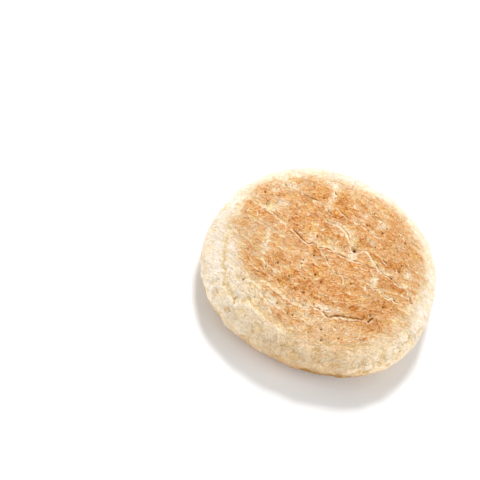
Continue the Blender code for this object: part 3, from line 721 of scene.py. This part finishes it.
def add_pores(skin, near, pores):
    for x, y, radius in pores:
        inside = (np.abs(near - (x, y)) < 2.5 * radius).all(1) & skin["top"]
        gap = np.linalg.norm(near[inside] - (x, y), axis=1) / radius
        pit = np.exp(-(gap / PORE_MOUTH) ** 4)
        skin["height"][inside] -= PORE_DEPTH * radius * pit
        # The pore's pit is darkened with painted shade.
        add_most(skin["crease"], inside, pit)
        add_most(skin["calm"], inside, np.exp(-(gap / PORE_CALM) ** 4))


def scattered_pores():
    """Small pores where the rule puts them: anywhere on the face."""
    count, least, largest, seed = SMALL_PORES
    draw = np.random.default_rng(seed)
    reach = FACE_REACH[0][1] * np.sqrt(draw.random(count))
    angle = 2 * np.pi * draw.random(count)
    size = least + (largest - least) * draw.random(count) ** 2
    return list(zip(reach * np.cos(angle), reach * np.sin(angle), size))


def grain_place(point):
    """The skin's own coordinates, along the grain and across it, wandering a little."""
    x, y, z = point.T
    straight = smoothstep(0.0, STRAIGHT_BEHIND, y) * smoothstep(0.0, STRAIGHT_LEFT, -x)
    across = y * (1.0 + (1.0 - STRAIGHTER * straight) * (x / GRAIN_BEND) ** 2)
    wander = sum(noise_pair(point / wavelength, seeds, widths) for wavelength, seeds, widths in GRAIN_WANDER)
    return np.stack([x, across], 1) + wander + z[:, None] * SIDE_SHIFT


def roughness_of_skin(point):
    """How strong the flakes and wrinkles are: weaker across the middle of the face and in the ovals."""
    from_calm = np.abs(point[:, 1] - CALM_LEVEL) + uneven(point, CALM_WAVES)
    rough = MIDDLE_ROUGH + (1.0 - MIDDLE_ROUGH) * smoothstep(*CALM_BORDER, from_calm)
    for row in CALM_SKIN:
        rough *= 1.0 - oval(point[:, :2], *row)
    return rough


def add_flakes(skin, point):
    """The flakes, with pale lines, partly painted highlight, and dark lines of painted shade along their
    borders, the wrinkles and the grain of the skin.
    """
    height, face = skin["height"], skin["face"]
    grain = grain_place(point)
    rough = roughness_of_skin(point)
    for length, width, size, seed in FLAKES:
        level, step, border = flakes(grain, length, width, seed)
        some = smoothstep(*FLAKES_SHOWN, noise(point / 8.0, seed + 20))
        height += face * rough * some * size * level
        drawn = skin["top"] * (0.25 + 0.75 * face) * smoothstep(*LINES_SHOWN, noise(point / 2.6, seed + 24))
        line = drawn * bell(border, FLAKE_LINE, FLAKE_LINE)
        skin["edge"] = np.maximum(skin["edge"], FLAKE_PALE_LIT_EDGE * line * smoothstep(*FLAKE_STEP, step))
        skin["crease"] = np.maximum(skin["crease"], FLAKE_CREASE_SHADE * line * smoothstep(*FLAKE_STEP, -step))
    for length, width, size, seed in WRINKLES:
        ridge = noise(np.stack([grain[:, 0] / length, grain[:, 1] / width, point[:, 2] / 3.0], 1), seed)
        height += (0.2 + 0.8 * face) * rough * size * (1.0 - 2.2 * np.abs(ridge))
    height += uneven(point, GRAIN)


def add_rim_relief(skin, point):
    """Lumps and short upright wrinkles of the skin round the rim."""
    rim = 1.0 - skin["face"]
    skin["height"] += rim * uneven(point, RIM_LUMPS)
    reach = np.hypot(*point[:, :2].T)
    around = point[:, :2] / np.maximum(reach, 1.0)[:, None] * RADIUS
    down = reach - 1.5 * point[:, 2]
    for wave, length, size, seed in RIM_WRINKLES:
        place = np.column_stack([around / wave, down / length]) + 0.7 * noise(point / 4.0, seed + 1)[:, None]
        some = smoothstep(-0.6, 0.5, noise(point / 9.0, seed + 2))
        skin["height"] += rim * some * size * (0.7 - 2.0 * np.abs(noise(place, seed)))


def skin_relief(point, share, top):
    """Heights of the skin over the plain form, and what the crust's colour needs to know, for every point."""
    skin = {name: np.zeros(len(point)) for name in ("height", "edge", "tone", "crease", "calm")}
    skin["top"] = top
    skin["face"] = 1.0 - smoothstep(*FACE_SHARE, share)
    skin["shown"] = uneven(point, SHOWN_WAVES)
    height = skin["height"]
    height += uneven(point, SWELLS) + smoothstep(*RIM_SHARE, share) * uneven(point, RIM_DENTS)
    height -= top * DISH_DEPTH * bell(np.hypot(*point[:, :2].T), 0.0, DISH_RADIUS)
    near = point[:, :2].copy()
    for wavelength, width, seed in WOBBLES:
        near += noise_pair(point / wavelength, (seed, seed + 3), width)
    for fold in (*FOLDS, *small_folds()):
        add_fold(skin, near, *fold)
    for groove in GROOVES:
        add_groove(skin, near, *groove)
    height -= top * sum(oval(near, *row) for row in HOLLOWS)
    add_flakes(skin, point)
    add_rim_relief(skin, point)
    for radius, middles in PORES:
        add_pores(skin, point[:, :2], [(*middle, radius) for middle in middles])
    add_pores(skin, point[:, :2], scattered_pores())
    height *= np.clip(point[:, 2] / FOOT_CALM, 0.0, 1.0)
    return skin


def foot_relief(point):
    """Depth of the underside's skin above the floor: pressed flat in places, wrinkled between them."""
    level = flakes(grain_place(point[:, [1, 0, 2]]), *FOOT_FLAKES)[0]
    return np.maximum(FOOT_RISE + uneven(point, FOOT_WAVES) + FOOT_FLAKE_HEIGHT * level, 0.0)


# ============ browning, and the crust's painted shade and highlights
def spread(value, faces, times):
    """The value averaged with its neighbours' on the mesh, several times over."""
    corner = np.array(faces)
    a = np.concatenate([corner[:, 0], corner[:, 1], corner[:, 2]])
    b = np.concatenate([corner[:, 1], corner[:, 2], corner[:, 0]])
    ways = np.bincount(a, minlength=len(value))
    for _ in range(times):
        value = 0.5 * value + 0.5 * np.bincount(a, weights=value[b], minlength=len(value)) / ways
    return value


def steepness(place, direction, faces):
    """How far the skin leans from the plain form, 0 where it runs level with it, and how far to +Y."""
    faces = np.array(faces)
    corner = place[faces]
    leaning = np.cross(corner[:, 1] - corner[:, 0], corner[:, 2] - corner[:, 0])
    normal = np.zeros_like(place)
    for number, axis in np.ndindex(3, 3):
        normal[:, axis] += np.bincount(faces[:, number], leaning[:, axis], len(place))
    normal /= np.linalg.norm(normal, axis=1)[:, None]
    return 1.0 - (normal * direction).sum(1), (normal - direction)[:, 1]


def facing(point, direction, width):
    """1 on the side of the bread that faces a direction, in degrees, falling to 0 on the way round."""
    return bell(np.degrees(np.arctan2(point[:, 1], point[:, 0])), direction, width)


def griddle_contact(point, near, far):
    """1 where the griddle browned the bread, 0 round the rim. What stands proud was browned further out."""
    reach = np.hypot(*point[:, :2].T) + uneven(point, REACH_WAVES) - PROUD_REACH * np.tanh((near - far) / 0.2)
    directions, distances = np.array(FACE_REACH, float).T
    around = np.degrees(np.arctan2(point[:, 1], point[:, 0])) % 360.0
    return 1.0 - smoothstep(-FACE_EDGE, FACE_EDGE, reach - np.interp(around, directions, distances))


def face_tone(point, skin, near, far):
    """How brown the griddled skin is: more on what stands proud, and changed by the patches."""
    tone = skin["tone"] + FACE_TONE + uneven(point, TONE_WAVES)
    tone += SWELL_TONE * np.tanh((near - far) / 0.20) + FLAKE_TONE * np.tanh((skin["height"] - near) / 0.05)
    for strength, patches in ((TOASTED_STRENGTH, TOASTED_PATCHES), (PALE_STRENGTH, PALE_PATCHES)):
        tone += skin["top"] * strength * sum(oval(point[:, :2], *row) for row in patches)
    return tone


def rim_tone(point, hollow, near, far):
    """How brown the floury rim is: more in its hollows and dents, as painted shade; at the front, as its own
    browning and painted shade; and near the foot all round.
    """
    height = point[:, 2]
    tone = RIM_TONE + RIM_HOLLOW_SHADE * hollow + RIM_DENT_SHADE * np.tanh((far - near) / 0.25)
    tone += uneven(point, RIM_TONE_WAVES) + FRONT_BROWNING_AND_SHADE * facing(point, *FRONT)
    tone += LOWER_BROWNING_AND_SHADE * (1.0 - smoothstep(*LOWER_SIDE, height)) * facing(point, *LOWER_FRONT)
    return tone + FOOT_TONE * (1.0 - smoothstep(*FOOT_BAND, height + uneven(point, FOOT_BAND_WAVES)))


def low_band(point):
    """Painted shadow: the darker band low on the front of the rim, where it turns under, as a share of a
    crease's darkness.
    """
    darkest = facing(point, *DARKEST)
    height = point[:, 2] + uneven(point, LOW_SHADOW_WAVES) - DARKEST_LIFT * darkest
    band = (1.0 - smoothstep(*LOW_SHADOW, height)) * smoothstep(*LOW_SHADOW_END, np.hypot(*point[:, :2].T))
    band *= 1.0 + uneven(point, SHADOW_MOTTLE)
    return band * (FRONT_SHADOW * facing(point, *FRONT) + DARKEST_SHADOW * darkest)


def colour_skin(point, place, direction, skin, faces):
    """How brown each point is, and how much of a dark crease of painted shade or a pale edge with a painted
    highlight it is, all from 0 to 1.
    """
    level = skin["height"]
    near, far = spread(level, faces, NEAR_STEPS), spread(level, faces, FAR_STEPS)
    contact = griddle_contact(point, near, far)
    lean, back = steepness(place, direction, faces)
    sheer = smoothstep(*SHEER, lean)
    # Leaning sides are paler, more where they face +Y towards the key light: unbrowned skin and painted
    # highlight.
    pale = smoothstep(*LEANING, lean) * (0.55 + 0.45 * np.tanh(back / 0.2)) * (1.0 - skin["calm"])
    pale *= 1.0 - 0.8 * sheer
    hollow = np.tanh(np.maximum(near - level, 0.0) / 0.10)
    rim = rim_tone(point, hollow, near, far)
    face = face_tone(point, skin, near, far)
    brown = rim + contact * (np.clip(face - PALE_TONE * pale, LEAST_FACE_TONE, 1.0) - rim)
    # Painted shade in the small hollows, darker on the face, where a noise lets it show.
    hollow_shade = (0.25 + 0.25 * skin["face"]) * hollow ** 2
    hollow_shade *= smoothstep(*HOLLOW_SHADE_SHOWN, uneven(point, HOLLOW_SHADE_WAVES))
    crease = np.maximum(skin["crease"], hollow_shade)
    edge = np.maximum(skin["edge"] * (1.0 - 0.4 * sheer), 0.5 * pale) * (1.0 - crease)
    crease = np.maximum(crease, low_band(point))
    # Painted shade: a dull yellow tint where the skin lies lower than round it, and in small hollows.
    olive_shade = np.clip(np.tanh((far - near) / 0.30) + 0.5 * hollow, 0.0, 1.0)
    brown = np.clip(brown, 0.0, 1.0)
    return {"brown": brown, "crease": crease, "edge": edge, "olive_shade": olive_shade, "griddled": contact}


# ============ mesh
def stitch(first, first_angles, second, second_angles):
    """Triangles between two rings of point numbers, the first one inside or above the second."""
    faces = []
    i = j = 0
    while i < len(first) or j < len(second):
        next_first = first_angles[i + 1] if i + 1 < len(first) else first_angles[0] + 2 * np.pi
        next_second = second_angles[j + 1] if j + 1 < len(second) else second_angles[0] + 2 * np.pi
        a, b = first[i % len(first)], second[j % len(second)]
        if j >= len(second) or i < len(first) and next_first <= next_second:
            faces.append((a, b, first[(i + 1) % len(first)]))
            i += 1
        else:
            faces.append((a, b, second[(j + 1) % len(second)]))
            j += 1
    return faces


def plain_skin():
    """The plain form as points, their outward directions, shares of the radius, and triangles."""
    point, direction, shares, faces = [], [], [], []
    numbers, angles = [], []
    count_so_far = 0
    for number, (share, height, count, (across, up)) in enumerate(skin_rings()):
        angle = 2 * np.pi * (np.arange(count) + 0.5 * (number % 2)) / count
        radius = share * outline_radius(angle)
        point.append(np.stack([radius * np.cos(angle), radius * np.sin(angle), np.full(count, height)], 1))
        direction.append(np.stack([across * np.cos(angle), across * np.sin(angle), np.full(count, up)], 1))
        shares.append(np.full(count, share))
        numbers.append(list(range(count_so_far, count_so_far + count)))
        angles.append(angle.tolist())
        count_so_far += count
    for k in range(len(numbers) - 1):
        if len(numbers[k]) == 1:
            ring = numbers[k + 1]
            faces += [(numbers[k][0], a, b) for a, b in zip(ring, ring[1:] + ring[:1])]
        elif len(numbers[k + 1]) == 1:
            ring = numbers[k]
            faces += [(numbers[k + 1][0], b, a) for a, b in zip(ring, ring[1:] + ring[:1])]
        else:
            faces += stitch(numbers[k], angles[k], numbers[k + 1], angles[k + 1])
    return np.vstack(point), np.vstack(direction), np.concatenate(shares), faces


def dented_foot(point, foot):
    """How far the underside's skin stands above the floor: nothing at the foot's edge, more further in."""
    reach = np.hypot(*point[:, :2].T)
    return foot * foot_relief(point) * smoothstep(0.0, FOOT_CALM, reach[foot].max() - reach)


def make_bread(box):
    point, direction, share, faces = plain_skin()
    top = (point[:, 2] >= WIDEST_LEVEL) & (direction[:, 2] >= -1e-6)
    foot = direction[:, 2] <= -0.9999
    skin = skin_relief(point, share, top)
    skin["height"] = np.where(foot, -dented_foot(point, foot), skin["height"])
    place = point + skin["height"][:, None] * direction
    values = colour_skin(point, place, direction, skin, faces)
    place[:, :2] += np.array(AXIS) + np.array([box[0].x + box[1].x, box[0].y + box[1].y]) / 2 / MM

    mesh = bpy.data.meshes.new("griddle_bread")
    mesh.from_pydata((place * MM).tolist(), [], faces)
    mesh.shade_smooth()
    for name, value in values.items():
        mesh.attributes.new(name, "FLOAT", "POINT").data.foreach_set("value", value.astype(np.float32))
    height = point[:, 2:]
    grain = np.hstack([grain_place(point) - height * SIDE_SHIFT, height]) * MM
    grain = grain.ravel().astype(np.float32)
    mesh.attributes.new("grain", "FLOAT_VECTOR", "POINT").data.foreach_set("vector", grain)
    bread = bpy.data.objects.new("griddle_bread", mesh)
    bpy.context.scene.collection.objects.link(bread)
    mesh.materials.append(crust_material())
    print("griddle_bread", len(faces), "triangles")
    return bread


# ============ materials
class Value:
    """A number that a material's nodes work out, so that + - * can be written as usual."""

    def __init__(self, nodes, socket):
        self.nodes, self.socket = nodes, socket

    def __add__(self, other):
        return self.nodes.math("ADD", self, other)

    def __sub__(self, other):
        return self.nodes.math("SUBTRACT", self, other)

    def __rsub__(self, other):
        return self.nodes.math("SUBTRACT", other, self)

    def __mul__(self, other):
        return self.nodes.math("MULTIPLY", self, other)

    __radd__, __rmul__ = __add__, __mul__

    def at_least(self, other):
        return self.nodes.math("MAXIMUM", self, other)


class Nodes:
    """A short way to write a material's node tree."""

    def __init__(self, name):
        self.material = bpy.data.materials.new(name)
        self.material.use_nodes = True
        self.tree = self.material.node_tree
        self.shader = self.tree.nodes["Principled BSDF"]

    def add(self, kind, settings=None, **inputs):
        node = self.tree.nodes.new("ShaderNode" + kind)
        for name, value in (settings or {}).items():
            setattr(node, name, value)
        for name, value in inputs.items():
            self.put(node, name.replace("_", " "), value)
        return node

    def put(self, node, socket, value):
        socket = node.inputs[int(socket)] if str(socket).isdigit() else node.inputs[socket]
        if isinstance(value, Value):
            self.tree.links.new(value.socket, socket)
        else:
            socket.default_value = value

    def value(self, node, output):
        return Value(self, node.outputs[output])

    def math(self, operation, first, second):
        return self.value(self.add("Math", {"operation": operation}, **{"0": first, "1": second}), 0)

    def vector_math(self, operation, first, **second):
        return self.value(self.add("VectorMath", {"operation": operation}, **{"0": first}, **second), 0)

    def attribute(self, name, output="Fac"):
        return self.value(self.add("Attribute", {"attribute_name": name}), output)

    def slope(self, value, low, high, kind="SMOOTHSTEP"):
        """0 up to the low value and 1 from the high one, with a smooth or a straight slope between them."""
        node = self.add("MapRange", {"interpolation_type": kind}, Value=value, From_Min=low, From_Max=high)
        return self.value(node, "Result")

    def profile(self, value, points):
        """A colour looked up along a line through the given points: (value, colour)."""
        ramp = self.add("ValToRGB", Fac=value)
        stops = ramp.color_ramp.elements
        while len(stops) < len(points):
            stops.new(0.5)
        for stop, (position, colour) in zip(stops, points):
            stop.position = position
            stop.color = colour
        return self.value(ramp, "Color")

    def noise(self, scale, detail, roughness=0.5, stretch=(1.0, 1.0, 1.0)):
        """Noise about 0, mostly within -0.5 to 0.5, that may be stretched along the skin's grain."""
        place = self.vector_math("MULTIPLY", self.attribute("grain", "Vector"), **{"1": stretch})
        node = self.add("TexNoise", Vector=place, Scale=scale, Detail=detail, Roughness=roughness)
        return self.value(node, "Fac") - 0.5

    def scales(self, scale):
        """Small scales of skin: each one's own height, 0 to 1, and the distance to its border."""
        place = self.attribute("grain", "Vector")
        wander = self.value(self.add("TexNoise", Vector=place, Scale=scale * 1.4, Detail=2.0), "Color")
        wander = self.vector_math("SCALE", wander, Scale=SCALE_WANDER / scale)
        place = self.vector_math("ADD", place, **{"1": wander})
        place = self.vector_math("MULTIPLY", place, **{"1": SCALE_STRETCH})
        cell = self.value(self.add("TexVoronoi", Vector=place, Scale=scale), "Color")
        border = self.add("TexVoronoi", {"feature": "DISTANCE_TO_EDGE"}, Vector=place, Scale=scale)
        return self.value(self.add("SeparateColor", Color=cell), 0), self.value(border, "Distance")

    def blend(self, share, first, second, how="MIX"):
        settings = {"data_type": "RGBA", "blend_type": how}
        return self.value(self.add("Mix", settings, **{"0": share, "6": first, "7": second}), 2)


def toasted_colour(made, toast, griddled, patchy, olive_shade):
    """The crust's colour by how toasted it is, tinted golden and rosy in patches, with a dull yellow
    painted shade in the hollows.
    """
    colour = made.profile(toast, TOAST_COLOURS)
    golden = patchy * (RIM_GOLDEN + FACE_GOLDEN * griddled)
    colour = made.blend(golden, colour, GOLDEN_TINT, "MULTIPLY")
    colour = made.blend(patchy * -ROSY * griddled, colour, ROSY_TINT, "MULTIPLY")
    return made.blend(olive_shade, colour, OLIVE_SHADE_TINT, "MULTIPLY")


def crust_material():
    made = Nodes("baked_crust")
    brown, griddled = made.attribute("brown"), made.attribute("griddled")
    fine, medium = made.noise(*FINE_NOISE, ALONG_GRAIN), made.noise(*MEDIUM_NOISE, ALONG_GRAIN)
    patchy = made.noise(*PATCHY_NOISE)
    large_height, large_border = made.scales(LARGE_SCALES)
    small_height, small_border = made.scales(SMALL_SCALES)
    grit = made.noise(*GRIT_NOISE)

    def strength(rim, more):
        """A strength on the rim, and how much more it is on the griddled face."""
        return rim + more * griddled

    toast = brown + fine * strength(*FINE_TONE) + grit * strength(*GRIT_TONE)
    toast += medium * strength(*MEDIUM_TONE) + (large_height + small_height - 1.0) * strength(*SCALE_TONE)
    olive_shade = OLIVE_SHADE * made.attribute("olive_shade") + OLIVE_SHADE_MOTTLE * medium
    colour = toasted_colour(made, toast, griddled, patchy, olive_shade)
    edge, crease = (made.slope(made.attribute(name), *CLEAN_LINES) for name in ("edge", "crease"))
    # The pale edges: paler skin with a painted highlight.
    colour = made.blend(edge * PALE_LIT_EDGE_STRENGTH, colour, PALE_LIT_EDGE_COLOUR)

    # Painted shade in creases, pores, hollows, the low front band and between scales; dark specks share it.
    crease_shade_colour = made.blend(CREASE_BROWNING * griddled, RIM_CREASE_SHADE, FACE_CREASE_SHADE)
    deep = made.slope(made.attribute("crease"), *PORE_CREASE, "LINEAR")
    crease_shade_colour = made.blend(deep * griddled, crease_shade_colour, PORE_SHADE_COLOUR)
    # Dark lines of painted shade along the scales' borders, broken off here and there.
    broken = (made.noise(*BREAKING_NOISE) + LINES_KEPT) * BROKEN_SHARPNESS
    small_shade_line, large_shade_line = (1.0 - made.slope(border, 0.0, width)
                              for border, width in ((small_border, SMALL_LINE), (large_border, LARGE_LINE)))
    lines = small_shade_line.at_least(large_shade_line) * broken * strength(*SCALE_SHADE_LINES)
    specks = (made.noise(*SPECK_NOISE) - SPECK_LEVEL) * SPECK_STRENGTH * brown
    crease = (CREASE_SHARE * crease).at_least(specks).at_least(lines)
    made.put(made.shader, "Base Color", made.blend(crease, colour, crease_shade_colour))

    domes = made.slope(large_border, 0.0, LARGE_DOME)
    domes += SMALLER_DOMES * made.slope(small_border, 0.0, SMALL_DOME)
    relief = DOME_RELIEF * domes + STEP_RELIEF * (large_height + SMALLER_STEPS * small_height)
    relief = (relief + fine + GRIT_RELIEF * grit + MEDIUM_RELIEF * medium) * strength(*BUMP_STRENGTH)
    bump = made.add("Bump", Strength=BUMP_SHARE, Distance=BUMP_HEIGHT, Height=relief)
    made.put(made.shader, "Normal", made.value(bump, "Normal"))
    made.put(made.shader, "Roughness", ROUGHNESS + ROUGHNESS_SPREAD * medium)
    made.put(made.shader, "Specular IOR Level", GLOSS)
    return made.material


def floor_material():
    made = Nodes("pale_floor")
    made.put(made.shader, "Base Color", FLOOR_COLOUR)
    made.put(made.shader, "Roughness", FLOOR_ROUGHNESS)
    return made.material


# ============ floor, light and view
def make_floor():
    mesh = bpy.data.meshes.new("floor")
    corners = [(x * FLOOR_HALF, y * FLOOR_HALF, 0.0) for x, y in ((-1, -1), (1, -1), (1, 1), (-1, 1))]
    mesh.from_pydata(corners, [], [(0, 1, 2, 3)])
    mesh.materials.append(floor_material())
    floor = bpy.data.objects.new("floor", mesh)
    bpy.context.scene.collection.objects.link(floor)


def add_light(name, azimuth, elevation, distance, size, power, colour):
    """A square soft light that faces the bread. Azimuth is counted from +X towards +Y, in degrees."""
    data = bpy.data.lights.new(name, "AREA")
    data.size = size
    data.energy = power
    data.color = colour
    light = bpy.data.objects.new(name, data)
    around, above = math.radians(azimuth), math.radians(elevation)
    level = math.cos(above)
    light.location = distance * Vector((level * math.cos(around), level * math.sin(around), math.sin(above)))
    light.rotation_euler = light.location.to_track_quat("Z", "Y").to_euler()
    bpy.context.scene.collection.objects.link(light)


def make_light():
    for light in LIGHTS:
        add_light(*light)
    world = bpy.data.worlds.new("studio")
    world.use_nodes = True
    world.node_tree.nodes["Background"].inputs["Color"].default_value = (*WHITE, 1.0)
    world.node_tree.nodes["Background"].inputs["Strength"].default_value = SKY_STRENGTH
    bpy.context.scene.world = world
    bpy.context.scene.view_settings.view_transform = "Standard"


def make_camera():
    """The camera sees the bread as the photograph does: tilted off its axis, rolled, right of the middle."""
    focal = VIEW_DISTANCE * PICTURE_SCALE
    x, y = BREAD_IN_PICTURE
    towards = Vector((x - PICTURE_SIZE / 2, PICTURE_SIZE / 2 - y, -focal)).normalized()
    tilt, roll = math.radians(VIEW_TILT), math.radians(VIEW_ROLL)
    image_up = Vector((math.sin(roll), math.cos(roll), 0.0))
    image_up = (image_up - image_up.dot(towards) * towards).normalized()
    axis = -math.cos(tilt) * towards + math.sin(tilt) * image_up
    back = (towards - towards.dot(axis) * axis).normalized()
    side = back.cross(axis)
    from_camera = Matrix((side, back, axis))
    middle = Vector((0.0, 0.0, BREAD_MIDDLE))
    data = bpy.data.cameras.new("camera")
    data.sensor_width = SENSOR
    data.lens = focal * SENSOR / PICTURE_SIZE
    camera = bpy.data.objects.new("camera", data)
    place = (middle - from_camera @ (VIEW_DISTANCE * towards)) * MM
    camera.matrix_world = Matrix.Translation(place) @ from_camera.to_4x4()
    bpy.context.scene.collection.objects.link(camera)
    bpy.context.scene.camera = camera


def main():
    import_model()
    bread = make_bread(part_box(NODE))
    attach(bread, "root")
    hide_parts(NODE)
    make_floor()
    make_light()
    make_camera()


main()
